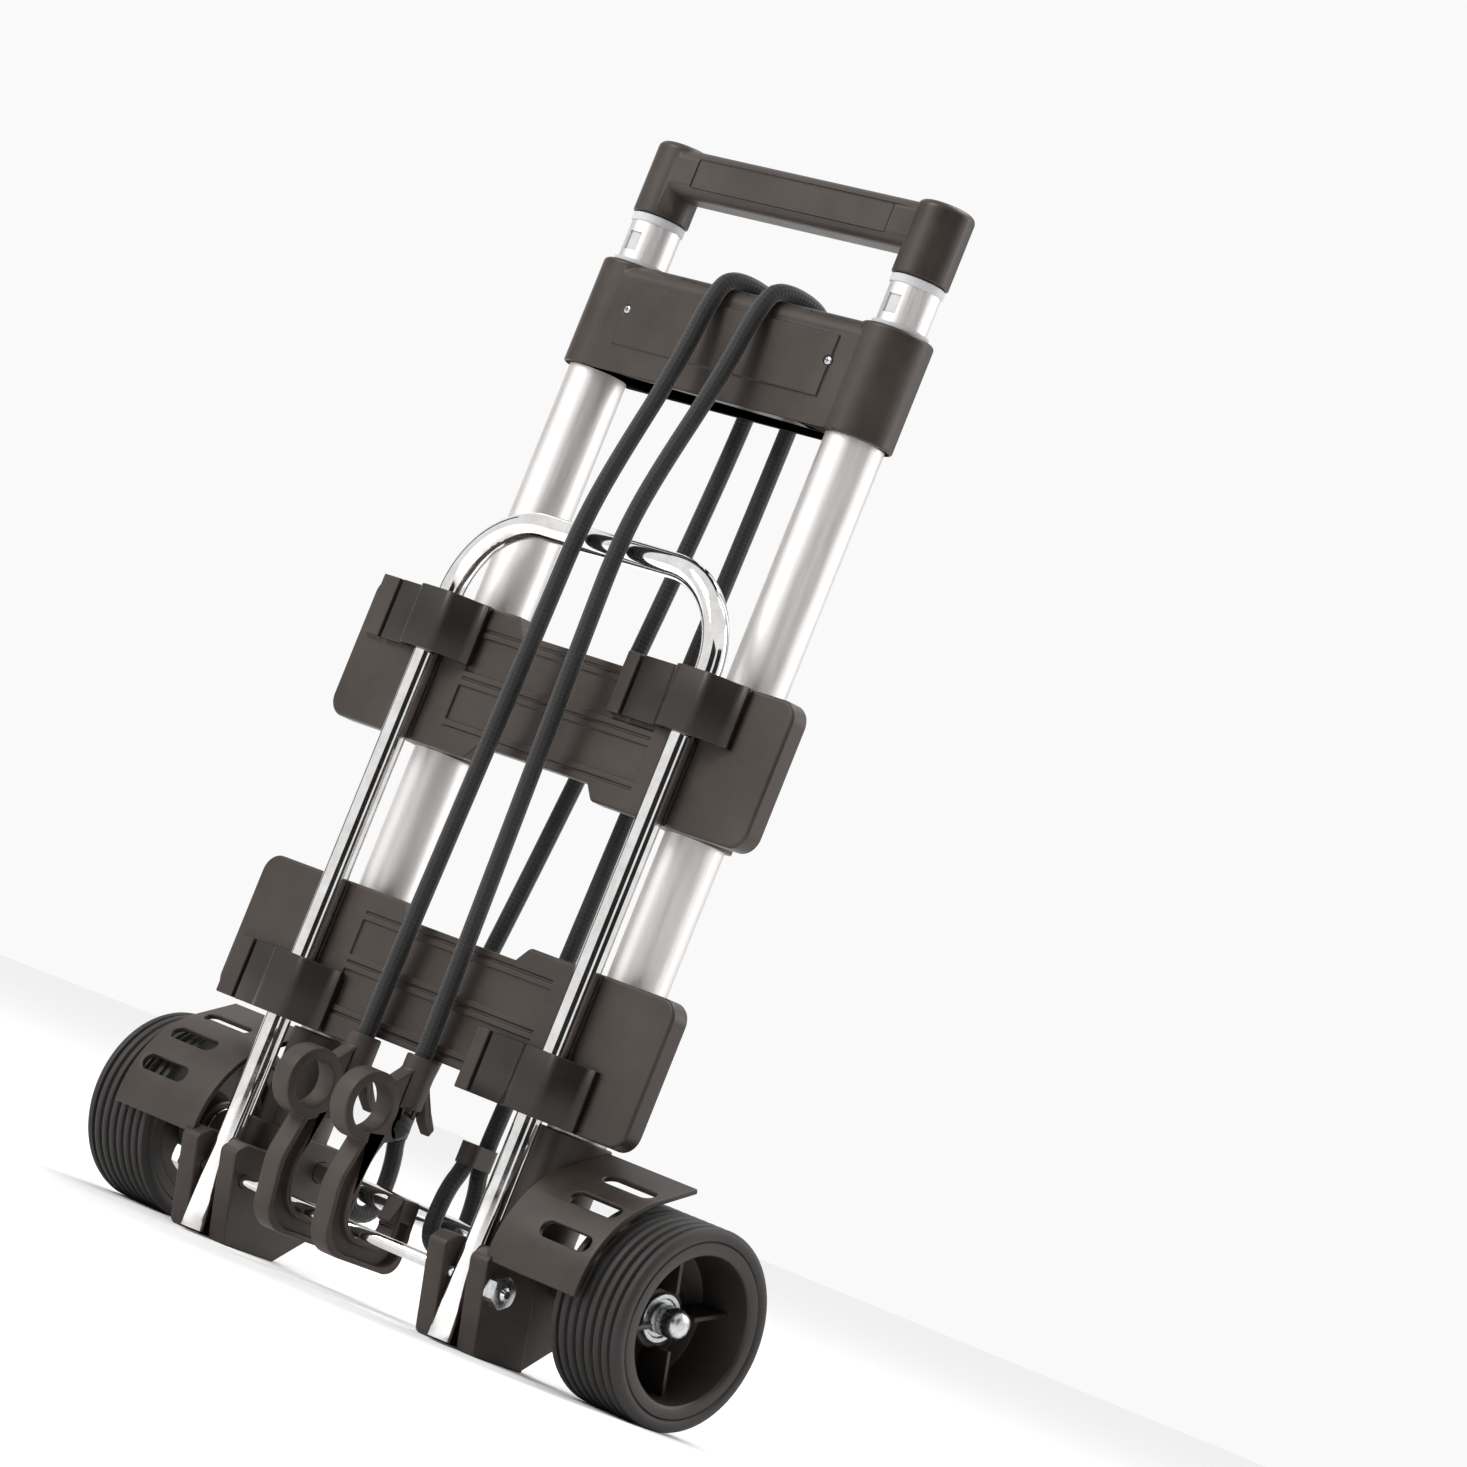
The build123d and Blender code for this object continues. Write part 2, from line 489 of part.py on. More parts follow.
def cord_hook(x):
    half = HOOK_HALF
    ring_y, ring_z = PLATE_Y + FINGER_RING[0], FINGER_RING[1]
    socket_y = PLATE_Y + SOCKET_AXIS_Y
    points = [(PLATE_Y + y, z) for y, z in J_LINE]
    face = strip_face(points, J_BENDS, J_THICK, lambda u, v: (x - half, u, v))
    hook = extrude(face, amount=2 * half, dir=(1, 0, 0))
    barb = [(PLATE_Y + y, z) for y, z in ((12.2, 50), (22.9, 50), (25, 34), (9.5, 38))]
    hook += side_profile(barb, (x - half + 1, x + half - 1))
    hook += crosswise((x - half, x + half), ring_y, ring_z, RING_R_OUT)
    arm = [(-24, 92), (-12, 104), (-4, 106), (3, 90), (-6, 72), (-20, 66)]
    hook += side_profile([(PLATE_Y + y, z) for y, z in arm], (x - 4, x + 4))
    tab = [(0, 98), (8, 84), (14, 79), (16, 83), (10, 90), (3, 100)]
    hook += side_profile([(PLATE_Y + y, z) for y, z in tab], (x - 3, x + 3))
    hook += upright(x, socket_y, CORD_SOCKET_Z, 7.6)
    hook -= crosswise((x - 9, x + 9), ring_y, ring_z, RING_R_IN)
    hook -= upright(x, socket_y, (80, 120), CORD_R + 0.6)
    hook -= Pos(x, socket_y, KNOT_Z) * Sphere(KNOT_R + 0.4)
    recess = strip_face(points, J_BENDS, J_THICK - 5, lambda u, v: (x, u, v))
    keep = crosswise((x - 9, x + 9), ring_y, ring_z, RING_R_OUT + 1)
    keep += box((x - 9, x + 9), (PLATE_Y - 40, PLATE_Y + 40), (40, 120)) & box(
        (x - 9, x + 9), (PLATE_Y + 2, PLATE_Y + 40), (34, 120))
    for shift, way in ((half - RECESS_DEEP, 1), (-half, 1)):
        pocket = extrude(Pos(shift, 0, 0) * recess, amount=RECESS_DEEP, dir=(way, 0, 0))
        hook -= pocket - keep
    return hook


# ---- elastic cords: knot, hook socket, over the toe bar and the top, round the axle --
LOOP_X = {"left": -34.0, "right": 22.0}
CORD_ROUTE = {
    "right": [
        (11, -4.6, 86), (11, -5.6, 132), (13.4, -11.0, 240), (15.2, -15.4, 318),
        (16.0, -16.8, 353), (16.8, -13.2, 384), (18.2, 1.0, 440), (18.6, 7.0, 478),
        (18.4, 15.0, 489.2), (20.0, 43.0, 489.2), (21.0, 51.0, 478), (22.4, 50.4, 430),
        (23, 47.4, 300), (22.6, 45.4, 180), (22.2, 43.6, 108), (22, 42.6, 76),
        (22, 48.6, 60), (22, 48.6, 35.0), (22, 28.2, 35.0), (22, 28.2, 60), (22, 34.2, 74), (22, 34.4, 82)],
    "left": [
        (-28, -4.6, 86), (-27.4, -5.6, 132), (-19, -11.0, 240), (-12.6, -15.4, 318),
        (-10.6, -16.8, 353), (-9.6, -13.2, 384), (-9.8, 1.0, 440), (-11.2, 7.0, 478),
        (-11.8, 15.0, 489.2), (-9.4, 43.0, 489.2), (-7.0, 51.0, 478), (-4.6, 50.4, 430),
        (-11, 47.4, 300), (-22, 45.4, 180), (-30.6, 43.6, 108), (-34, 42.6, 76),
        (-34, 48.6, 60), (-34, 48.6, 35.0), (-34, 28.2, 35.0), (-34, 28.2, 60), (-34, 34.2, 74), (-34, 34.4, 82)],
}
EDGE_ARCS = {7: 14.0, 8: 12.0, 9: 12.0, 10: 14.0, 17: 9.8, 18: 9.8}  # over the top, round the axle


def corner_radii(route):
    """Each arc is as large as its two runs allow, except where the cord rounds an edge."""
    radii = []
    for i in range(1, len(route) - 1):
        before, here, after = [Vector(*p) for p in route[i - 1:i + 2]]
        run_in, run_out = here - before, after - here
        turn = math.radians(run_in.get_angle(run_out))
        largest = 0.45 * min(run_in.length, run_out.length) / math.tan(turn / 2)
        radii.append(min(EDGE_ARCS.get(i, largest), largest))
    return radii


def elastic_cord(side):
    route = [(x, PLATE_Y + y, z) for x, y, z in CORD_ROUTE[side]]
    radii = corner_radii(route)
    path = FilletPolyline(*route, radius=radii)
    solid = sweep(Plane(path @ 0, z_dir=path % 0) * Circle(CORD_R), path=path)
    print(side, "cord radii", [round(r, 1) for r in radii])
    wanted = math.pi * CORD_R ** 2 * path.length
    print(side, "cord length", round(path.length, 1), "volume", round(solid.volume), "of", round(wanted))
    return solid


knots, ferrules = [], []
for side, sign in SIDES:
    save(cord_hook(HOOK_X[side]), "cord_hook_" + side)
    cord = elastic_cord(side)
    save(cord, "elastic_cord_" + side)
    start = (HOOK_X[side], PLATE_Y + SOCKET_AXIS_Y)
    knot = Pos(start[0], start[1], KNOT_Z) * Sphere(KNOT_R) - upright(*start, (86, 92), 20)
    knots.append(knot)
    crimp = box((LOOP_X[side] - 5.4, LOOP_X[side] + 5.4), (PLATE_Y + 29.0, PLATE_Y + 47.8), (74, 84))
    crimp = fillet(crimp.edges().filter_by(Axis.Z), 5) - cord
    ferrules.append(crimp)
save(Compound(knots), "cord_knots")
save(Compound(ferrules), "cord_crimps")
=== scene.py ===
# %% [markdown]
# # A folding luggage cart
# The imported CAD model is the frame of this scene: it says where every piece is, how large it
# is and what it moves with. We load it first and keep its box. Lengths are in metres, as
# everywhere in Blender.

# %% Load the frame
import bmesh
import bpy
import json
from math import cos, pi, radians, sin
from mathutils import Matrix, Vector
from mathutils.bvhtree import BVHTree

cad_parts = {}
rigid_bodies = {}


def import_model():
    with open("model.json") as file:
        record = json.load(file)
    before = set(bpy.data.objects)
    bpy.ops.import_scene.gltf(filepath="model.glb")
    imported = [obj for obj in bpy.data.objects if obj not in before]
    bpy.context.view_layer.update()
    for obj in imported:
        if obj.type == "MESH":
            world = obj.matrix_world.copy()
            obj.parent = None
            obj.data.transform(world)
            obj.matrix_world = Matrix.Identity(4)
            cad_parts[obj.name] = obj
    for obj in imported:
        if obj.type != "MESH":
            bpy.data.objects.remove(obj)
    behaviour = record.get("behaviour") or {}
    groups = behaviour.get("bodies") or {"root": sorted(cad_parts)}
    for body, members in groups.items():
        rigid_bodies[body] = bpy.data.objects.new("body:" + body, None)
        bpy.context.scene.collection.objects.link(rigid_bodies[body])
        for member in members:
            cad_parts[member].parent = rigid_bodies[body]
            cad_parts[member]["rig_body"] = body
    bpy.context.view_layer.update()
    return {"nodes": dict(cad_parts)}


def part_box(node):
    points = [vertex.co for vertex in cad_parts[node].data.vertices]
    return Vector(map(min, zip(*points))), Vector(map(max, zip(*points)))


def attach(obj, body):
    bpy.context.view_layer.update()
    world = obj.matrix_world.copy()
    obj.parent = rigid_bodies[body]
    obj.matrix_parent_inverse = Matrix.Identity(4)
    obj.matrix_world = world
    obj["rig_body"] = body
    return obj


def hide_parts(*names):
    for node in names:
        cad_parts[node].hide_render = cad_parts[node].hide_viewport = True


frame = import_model()
MM = 0.001
SIDES = (("left", -1), ("right", 1))


# %% [markdown]
# ## Places and sizes
# From those corners come the tube axes, the axle, the pivot and the faces that the new
# pieces meet.

# %% Places, read from the frame
def low(node):
    return Vector(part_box(node)[0])


def high(node):
    return Vector(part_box(node)[1])


def middle(node):
    return (low(node) + high(node)) / 2


axle_at = middle("axle")
pivot_at = middle("pivot_bolt")
tube_at = {side: middle("outer_tube_" + side) for side, sign in SIDES}
wheel_radius = (high("tyre_right").z - low("tyre_right").z) / 2
print("axle", tuple(round(v / MM, 1) for v in axle_at))
print("wheel radius", round(wheel_radius / MM, 1))


# %% [markdown]
# ## Camera
# The cart is seen from a little below the middle, from its right, through a long lens, and
# the camera is rolled so that the tubes lean. A named azimuth, elevation and roll say this
# better than a matrix: we turn the camera up from looking straight down, then round Z.

# %% Camera
VIEW_AZIMUTH, VIEW_ELEVATION, VIEW_ROLL = 42.98, -4.27, 21.84
VIEW_DISTANCE = 2.5
VIEW_TARGET = Vector((0.0816, -0.0066, 0.2932))
LENS, SENSOR = 139.8, 36.0    # focal length and sensor width, in millimetres
FAR_CLIP = 30
camera = bpy.data.objects.new("camera", bpy.data.cameras.new("camera"))
bpy.context.scene.collection.objects.link(camera)
turn = Matrix.Rotation(radians(VIEW_AZIMUTH), 4, "Z")
turn = turn @ Matrix.Rotation(radians(90 - VIEW_ELEVATION), 4, "X")
turn = turn @ Matrix.Rotation(radians(VIEW_ROLL), 4, "Z")
step_back = Matrix.Translation((0, 0, VIEW_DISTANCE))
camera.matrix_world = Matrix.Translation(VIEW_TARGET) @ turn @ step_back
camera.data.lens = LENS
camera.data.sensor_width = SENSOR
camera.data.clip_end = FAR_CLIP
bpy.context.scene.camera = camera
print("camera at", tuple(round(v, 3) for v in camera.matrix_world.translation))


# %% [markdown]
# ## Colour and nodes
# Hex values are sRGB, and shader sockets want linear light, so one function turns them. One
# more function adds a node: a value in its inputs is either a number, which is set, or a
# socket of another node, which is linked.

# %% Helpers for materials
def linear(code):
    """A hex colour such as 2B2726, as linear red, green, blue, alpha."""
    parts = [int(code[i:i + 2], 16) / 255 for i in (0, 2, 4)]
    return [c / 12.92 if c <= 0.04045 else ((c + 0.055) / 1.055) ** 2.4 for c in parts] + [1.0]


def add(tree, kind, inputs=None, **settings):
    """Add a node, set its properties, and set or link each of its inputs."""
    node = tree.nodes.new("ShaderNode" + kind)
    for key, value in settings.items():
        setattr(node, key, value)
    for key, value in (inputs or {}).items():
        if isinstance(value, bpy.types.NodeSocket):
            tree.links.new(value, node.inputs[key])
        else:
            node.inputs[key].default_value = value
    return node


def ramp(tree, factor, stops):
    """A colour ramp from (place, hex) stops."""
    node = add(tree, "ValToRGB", {"Fac": factor})
    while len(node.color_ramp.elements) < len(stops):
        node.color_ramp.elements.new(0.5)
    for element, (place, code) in zip(node.color_ramp.elements, stops):
        element.position = place
        element.color = linear(code)
    return node


def new_finish(name):
    """An empty material with its Principled shader, and the Object coordinates."""
    finish = bpy.data.materials.new(name)
    finish.use_nodes = True
    tree = finish.node_tree
    return finish, tree, tree.nodes["Principled BSDF"], add(tree, "TexCoord").outputs["Object"]


# %% [markdown]
# ## Moulded polypropylene
# The cross pieces, base blocks, grip and clips are injection-moulded polypropylene, a warm
# black. The mould is spark-eroded, which leaves a grain of about 0.4 mm: it is a bump, and
# it breaks up the gloss. Handling polishes the plastic unevenly, so a slow noise of a few
# centimetres moves the roughness and the colour a little.

# %% Moulded plastics
GRAIN, SCUFF, SMUDGE = 0.4 * MM, 6 * MM, 45 * MM
GRAIN_DEPTH = 0.035 * MM
PLASTIC_SPECULAR, PLASTIC_TINT = 0.42, "FCF3EC"


def moulded(name, dark, light, rough):
    """A grained plastic between two shades."""
    finish, tree, shader, place = new_finish(name)
    smudge = add(tree, "TexNoise", {"Vector": place, "Scale": 1 / SMUDGE,
                                    "Detail": 4.0, "Roughness": 0.6})
    colour = ramp(tree, smudge.outputs["Fac"], [(0.35, dark), (0.68, light)])
    tree.links.new(colour.outputs["Color"], shader.inputs["Base Color"])
    gloss = add(tree, "MapRange", {"Value": smudge.outputs["Fac"],
                                   "From Min": 0.3, "From Max": 0.7,
                                   "To Min": rough - 0.06, "To Max": rough + 0.08})
    tree.links.new(gloss.outputs["Result"], shader.inputs["Roughness"])
    shader.inputs["Specular IOR Level"].default_value = PLASTIC_SPECULAR
    shader.inputs["Specular Tint"].default_value = linear(PLASTIC_TINT)
    grain = add(tree, "TexNoise", {"Vector": place, "Scale": 1 / GRAIN, "Detail": 2.0})
    scuff = add(tree, "TexNoise", {"Vector": place, "Scale": 1 / SCUFF,
                                   "Detail": 6.0, "Roughness": 0.7})
    relief = add(tree, "Math", {0: grain.outputs["Fac"], 1: scuff.outputs["Fac"]},
                 operation="ADD")
    bump = add(tree, "Bump", {"Height": relief.outputs[0], "Strength": 0.5,
                              "Distance": GRAIN_DEPTH})
    tree.links.new(bump.outputs["Normal"], shader.inputs["Normal"])
    return finish


polypropylene = moulded("moulded_polypropylene", "27211E", "38312D", 0.44)
# Painted shade: the clips are darker than the other polypropylene, standing in for the shade on
# their curved faces.
clip_plastic_painted_shade = moulded("clip_polypropylene_painted_shade", "0F0C0B", "1A1614", 0.34)
hook_plastic = moulded("hook_nylon", "2E2825", "403834", 0.50)
wheel_plastic = moulded("wheel_polypropylene", "191615", "24201E", 0.42)
collar_nylon = moulded("collar_grey_nylon", "B4B4B6", "C6C6C8", 0.45)
catch_nylon = moulded("catch_nylon", "7E7E80", "8C8C8E", 0.5)


# %% [markdown]
# ## Anodised aluminium tube
# The tubes are drawn aluminium, etched and anodised clear: a pale satin metal with faint
# lines along the drawing direction. Stretching a noise along Z makes the lines: it is fine
# across the tube and long along it. They only touch roughness and bump, because anodising
# evens out the colour.

# %% Tube finish
DRAW_LINE, TUBE_CLOUD = 0.5 * MM, 60 * MM
ALONG_TUBE = 0.02    # the pattern is stretched fifty times along Z

anodised, tree, shader, place = new_finish("anodised_aluminium")
shader.inputs["Metallic"].default_value = 1.0
stretch = add(tree, "Mapping", {"Vector": place, "Scale": (1, 1, ALONG_TUBE)})
lines = add(tree, "TexNoise", {"Vector": stretch.outputs["Vector"],
                               "Scale": 1 / DRAW_LINE, "Detail": 3.0})
cloud = add(tree, "TexNoise", {"Vector": place, "Scale": 1 / TUBE_CLOUD, "Detail": 3.0})
tint = ramp(tree, cloud.outputs["Fac"], [(0.3, "DAD7D5"), (0.7, "E4E1DF")])
tree.links.new(tint.outputs["Color"], shader.inputs["Base Color"])
gloss = add(tree, "MapRange", {"Value": lines.outputs["Fac"], "From Min": 0.3, "From Max": 0.7,
                               "To Min": 0.40, "To Max": 0.54})
tree.links.new(gloss.outputs["Result"], shader.inputs["Roughness"])
bump = add(tree, "Bump", {"Height": lines.outputs["Fac"], "Strength": 0.35,
                          "Distance": 0.01 * MM})
tree.links.new(bump.outputs["Normal"], shader.inputs["Normal"])


# %% [markdown]
# ## Chrome and zinc
# The toe bar, the pivot bolt and the axle are plated with bright chrome: almost a mirror,
# with hairline polishing marks. The nut, washers, caps and screws are zinc plated, which is
# softer and a little blue, so it gets more roughness and a mottled tint.

# %% Plated steel
def plated(name, dark, light, rough_low, rough_high, spot):
    """A bright metal between two shades and two roughnesses, mottled in spots."""
    finish, tree, shader, place = new_finish(name)
    shader.inputs["Metallic"].default_value = 1.0
    mottle = add(tree, "TexNoise", {"Vector": place, "Scale": 1 / spot,
                                    "Detail": 5.0, "Roughness": 0.65})
    tint = ramp(tree, mottle.outputs["Fac"], [(0.35, dark), (0.65, light)])
    tree.links.new(tint.outputs["Color"], shader.inputs["Base Color"])
    gloss = add(tree, "MapRange", {"Value": mottle.outputs["Fac"],
                                   "From Min": 0.3, "From Max": 0.75,
                                   "To Min": rough_low, "To Max": rough_high})
    tree.links.new(gloss.outputs["Result"], shader.inputs["Roughness"])
    bump = add(tree, "Bump", {"Height": mottle.outputs["Fac"], "Strength": 0.15,
                              "Distance": 0.01 * MM})
    tree.links.new(bump.outputs["Normal"], shader.inputs["Normal"])
    return finish


chrome = plated("bright_chrome", "DAD8D6", "EDECEB", 0.03, 0.10, 9 * MM)
zinc = plated("zinc_plate", "A9ABAD", "C9CACB", 0.22, 0.38, 2.5 * MM)


# %% [markdown]
# ## Tyre rubber
# The tyre is a moulded thermoplastic rubber: black, soft-looking, with dust in its grain.
# The dust is a light speckle that only shows where a noise passes a threshold.

# %% Rubber
DUST, PORE = 1.2 * MM, 0.6 * MM

rubber, tree, shader, place = new_finish("tyre_rubber")
dust = add(tree, "TexNoise", {"Vector": place, "Scale": 1 / DUST,
                              "Detail": 6.0, "Roughness": 0.75})
tint = ramp(tree, dust.outputs["Fac"], [(0.52, "1B1816"), (0.72, "302B28")])
tree.links.new(tint.outputs["Color"], shader.inputs["Base Color"])
shader.inputs["Roughness"].default_value = 0.62
pores = add(tree, "TexNoise", {"Vector": place, "Scale": 1 / PORE, "Detail": 3.0})
bump = add(tree, "Bump", {"Height": pores.outputs["Fac"], "Strength": 0.6,
                          "Distance": 0.05 * MM})
tree.links.new(bump.outputs["Normal"], shader.inputs["Normal"])
print("materials:", [m.name for m in bpy.data.materials if m.use_nodes])


# %% [markdown]
# ## Finishes for the CAD nodes
# A CAD node that already has the right shape keeps its mesh and only gets a finish. A table
# from the start of a node's name to a finish covers them all.

# %% Give every CAD node its finish
FINISH_OF = {
    "outer_tube": anodised, "middle_tube": anodised, "inner_tube": anodised,
    "collar": collar_nylon, "outer_bush": collar_nylon,
    "middle_foot": catch_nylon, "inner_foot": catch_nylon,
    "middle_catch": catch_nylon, "inner_catch": catch_nylon,
    "toe_bar": chrome, "pivot_bolt": chrome, "axle": chrome,
    "axle_washers": zinc, "axle_caps": zinc, "pivot_nut": zinc,
    "tyre": rubber, "rim": wheel_plastic, "wheel_bush": wheel_plastic,
    "cord_hook": hook_plastic, "mid_strap": clip_plastic_painted_shade, "lower_strap": clip_plastic_painted_shade,
}
for node in frame["nodes"]:
    names = [key for key in FINISH_OF if node.startswith(key)]
    other = zinc if node.endswith("screws") else polypropylene
    finish = FINISH_OF[max(names, key=len)] if names else other
    mesh = bpy.data.objects[node].data
    mesh.materials.clear()
    mesh.materials.append(finish)
print("finished", len(frame["nodes"]), "nodes")


# %% [markdown]
# ## Black braided cord
# An elastic cord is a bundle of rubber threads in a braided polyester sleeve. The sleeve has
# yarns that wind both ways and pass over and under each other, about 2 mm apart. The yarns
# follow the cord, so the pattern reads the cord's own UV map: U runs round it and V along
# it, in metres. The product of two slanted waves gives the diamonds of the weave. The
# colour follows that height, so the low places between the yarns carry a painted shade.

# %% Cord finish
YARNS = 12
YARN_STEP = 2.1 * MM

braid, tree, shader, place = new_finish("braided_polyester")
shader.inputs["Roughness"].default_value = 0.72
shader.inputs["Sheen Weight"].default_value = 0.35
shader.inputs["Sheen Roughness"].default_value = 0.4
where = add(tree, "SeparateXYZ", {"Vector": add(tree, "UVMap", uv_map="along").outputs["UV"]})
turns = add(tree, "Math", {0: where.outputs["X"], 1: YARNS * pi}, operation="MULTIPLY")
steps = add(tree, "Math", {0: where.outputs["Y"], 1: pi / YARN_STEP}, operation="MULTIPLY")
one_way = add(tree, "Math", {0: turns.outputs[0], 1: steps.outputs[0]}, operation="ADD")
other_way = add(tree, "Math", {0: turns.outputs[0], 1: steps.outputs[0]}, operation="SUBTRACT")
waves = [add(tree, "Math", {0: way.outputs[0]}, operation="SINE") for way in (one_way, other_way)]
weave = add(tree, "Math", {0: waves[0].outputs[0], 1: waves[1].outputs[0]}, operation="MULTIPLY")
lift = add(tree, "MapRange", {"Value": weave.outputs[0], "From Min": -0.8, "From Max": 0.8})
fuzz = add(tree, "TexNoise", {"Vector": place, "Scale": 1 / (0.5 * MM), "Detail": 3.0})
height = add(tree, "Math", {0: lift.outputs["Result"], 1: fuzz.outputs["Fac"]}, operation="ADD")
# Painted shade: the colour is darker where the weave is low, between the yarns.
tint = ramp(tree, lift.outputs["Result"], [(0.1, "0A0909"), (0.9, "1C1A19")])
tree.links.new(tint.outputs["Color"], shader.inputs["Base Color"])
bump = add(tree, "Bump", {"Height": height.outputs[0], "Strength": 0.7, "Distance": 0.25 * MM})
tree.links.new(bump.outputs["Normal"], shader.inputs["Normal"])


# %% [markdown]
# ## Elastic cords
# Each cord is knotted under its hook, runs up over the toe bar and the upper cross piece,
# comes down behind and goes round the axle into its crimp. It is stretched, so its line is
# long easy curves: a NURBS spline through a few given points says exactly that. The
# sleeve is a tube of rings that follow the spline at even steps, which keeps the weave even.

# %% Routes of the two cords, in millimetres, Y from the plates' front face
CORD_THICK = 8 * MM
CORD_PLATE_Y = -34.0
CORD_ROUTE = {
    "right": [
        (11, -4.6, 86), (11, -5.6, 132), (13.4, -11.0, 240), (15.2, -15.4, 318),
        (16.0, -16.8, 353), (16.8, -13.2, 384), (18.2, 1.0, 440), (18.6, 7.0, 478),
        (18.4, 15.0, 489.2), (20.0, 43.0, 489.2), (21.0, 51.0, 478), (22.4, 50.4, 430),
        (23, 47.4, 300), (22.6, 45.4, 180), (22.2, 43.6, 108), (22, 42.6, 76),
        (22, 48.6, 60), (22, 48.6, 35), (22, 28.2, 35), (22, 28.2, 60),
        (22, 34.2, 74), (22, 34.4, 82)],
    "left": [
        (-28, -4.6, 86), (-27.4, -5.6, 132), (-19, -11.0, 240), (-12.6, -15.4, 318),
        (-10.6, -16.8, 353), (-9.6, -13.2, 384), (-9.8, 1.0, 440), (-11.2, 7.0, 478),
        (-11.8, 15.0, 489.2), (-9.4, 43.0, 489.2), (-7, 51.0, 478), (-4.6, 50.4, 430),
        (-11, 47.4, 300), (-22, 45.4, 180), (-30.6, 43.6, 108), (-34, 42.6, 76),
        (-34, 48.6, 60), (-34, 48.6, 35), (-34, 28.2, 35), (-34, 28.2, 60),
        (-34, 34.2, 74), (-34, 34.4, 82)]}


def spline_points(route):
    """The smooth line of a NURBS spline that has the route as its control points."""
    curve = bpy.data.curves.new("route", "CURVE")
    curve.dimensions = "3D"
    curve.resolution_u = 32
    spline = curve.splines.new("NURBS")
    spline.points.add(len(route) - 1)
    for point, (x, y, z) in zip(spline.points, route):
        point.co = (x * MM, (CORD_PLATE_Y + y) * MM, z * MM, 1)
    spline.order_u = 3
    spline.use_endpoint_u = True
    holder = bpy.data.objects.new("route", curve)
    line = bpy.data.meshes.new_from_object(holder)
    points = [v.co.copy() for v in line.vertices]
    bpy.data.objects.remove(holder)
    bpy.data.meshes.remove(line)
    return points


def even_steps(points, step):
    """Points at even steps along a line."""
    total = sum((b - a).length for a, b in zip(points, points[1:]))
    gap = total / round(total / step)
    even, walked, due = [points[0]], 0.0, gap
    for a, b in zip(points, points[1:]):
        run = (b - a).length
        while run > 0 and walked + run >= due - 1e-9:
            even.append(a.lerp(b, (due - walked) / run))
            due += gap
        walked += run
    return even, total


def sleeve(points, radius, around=20):
    """A closed tube along the points, with U round it and V along it."""
    bm = bmesh.new()
    along = bm.loops.layers.uv.new("along")
    ahead = (points[1] - points[0]).normalized()
    side = ahead.orthogonal().normalized()
    rings, metres = [], [0.0]
    for i, point in enumerate(points):
        new_ahead = (points[min(i + 1, len(points) - 1)] - points[max(i - 1, 0)]).normalized()
        side = (ahead.rotation_difference(new_ahead) @ side).normalized()
        ahead = new_ahead
        up = ahead.cross(side)
        angles = [2 * pi * k / around for k in range(around)]
        rings.append([bm.verts.new(point + radius * (cos(a) * side + sin(a) * up))
                      for a in angles])
        if i:
            metres.append(metres[-1] + (point - points[i - 1]).length)
    for i, (ring, after) in enumerate(zip(rings, rings[1:])):
        for k in range(around):
            beside = (k + 1) % around
            face = bm.faces.new((ring[k], ring[beside], after[beside], after[k]))
            corners = ((k, i), (k + 1, i), (k + 1, i + 1), (k, i + 1))
            for loop, (u, v) in zip(face.loops, corners):
                loop[along].uv = (u / around, metres[v])
    for end, way in ((rings[0], -1), (rings[-1], 1)):
        bm.faces.new(end[::way])
    return bm


# %% [markdown]
# ## Making a piece
# Every new piece rides on the body of the CAD node that it stands for, gets the finish it is
# given, and replaces that node. One function does all of that from a bmesh. Smooth shading
# with sharp edges past 35 degrees keeps turned surfaces round and their corners crisp. On
# a piece of flat faces and narrow bevels, the Weighted Normal modifier lets the large faces
# win, so that they stay flat.


def make_piece(name, bm, finish, *nodes, flatter=False):
    """Turn a bmesh into a piece that rides, has its slot and replaces its nodes."""
    mesh = bpy.data.meshes.new(name)
    bm.normal_update()
    bm.to_mesh(mesh)
    bm.free()
    mesh.materials.append(finish)
    mesh.shade_smooth()
    mesh.set_sharp_from_angle(angle=radians(35))
    piece = bpy.data.objects.new(name, mesh)
    bpy.context.scene.collection.objects.link(piece)
    if flatter:
        weigh = piece.modifiers.new("flat faces stay flat", "WEIGHTED_NORMAL")
        weigh.keep_sharp, weigh.weight = True, 60
    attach(piece, frame["nodes"][nodes[0]]["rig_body"])
    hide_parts(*nodes)
    print(name, "faces", len(mesh.polygons))
    return piece


def knot_bm(at, radius):
    """A tight stopper knot: a ball with three turns pressed into it."""
    bm = bmesh.new()
    bmesh.ops.create_icosphere(bm, subdivisions=4, radius=radius)
    for v in bm.verts:
        way = v.co.normalized()
        turn = sin(3 * way.z * 2.2 + 1.2 * sin(2 * way.x) + 1.6 * way.y)
        v.co = way * radius * (0.90 + 0.10 * abs(turn) ** 0.6)
    bmesh.ops.translate(bm, verts=bm.verts, vec=at)
    return bm


# %% Lay both cords, with their knots
CORD_STEP = 2 * MM
KNOT_RADIUS, KNOT_DROP = 6.6 * MM, 7 * MM

for side, sign in SIDES:
    line, total = even_steps(spline_points(CORD_ROUTE[side]), CORD_STEP)
    cord = make_piece("cord_sleeve_" + side, sleeve(line, CORD_THICK / 2), braid,
                      "elastic_cord_" + side)
    at = line[0] + Vector((0, 0, -KNOT_DROP))
    make_piece("stopper_knot_" + side, knot_bm(at, KNOT_RADIUS), braid, "cord_knots")
    print("cord", side, "spline length", round(total, 3))


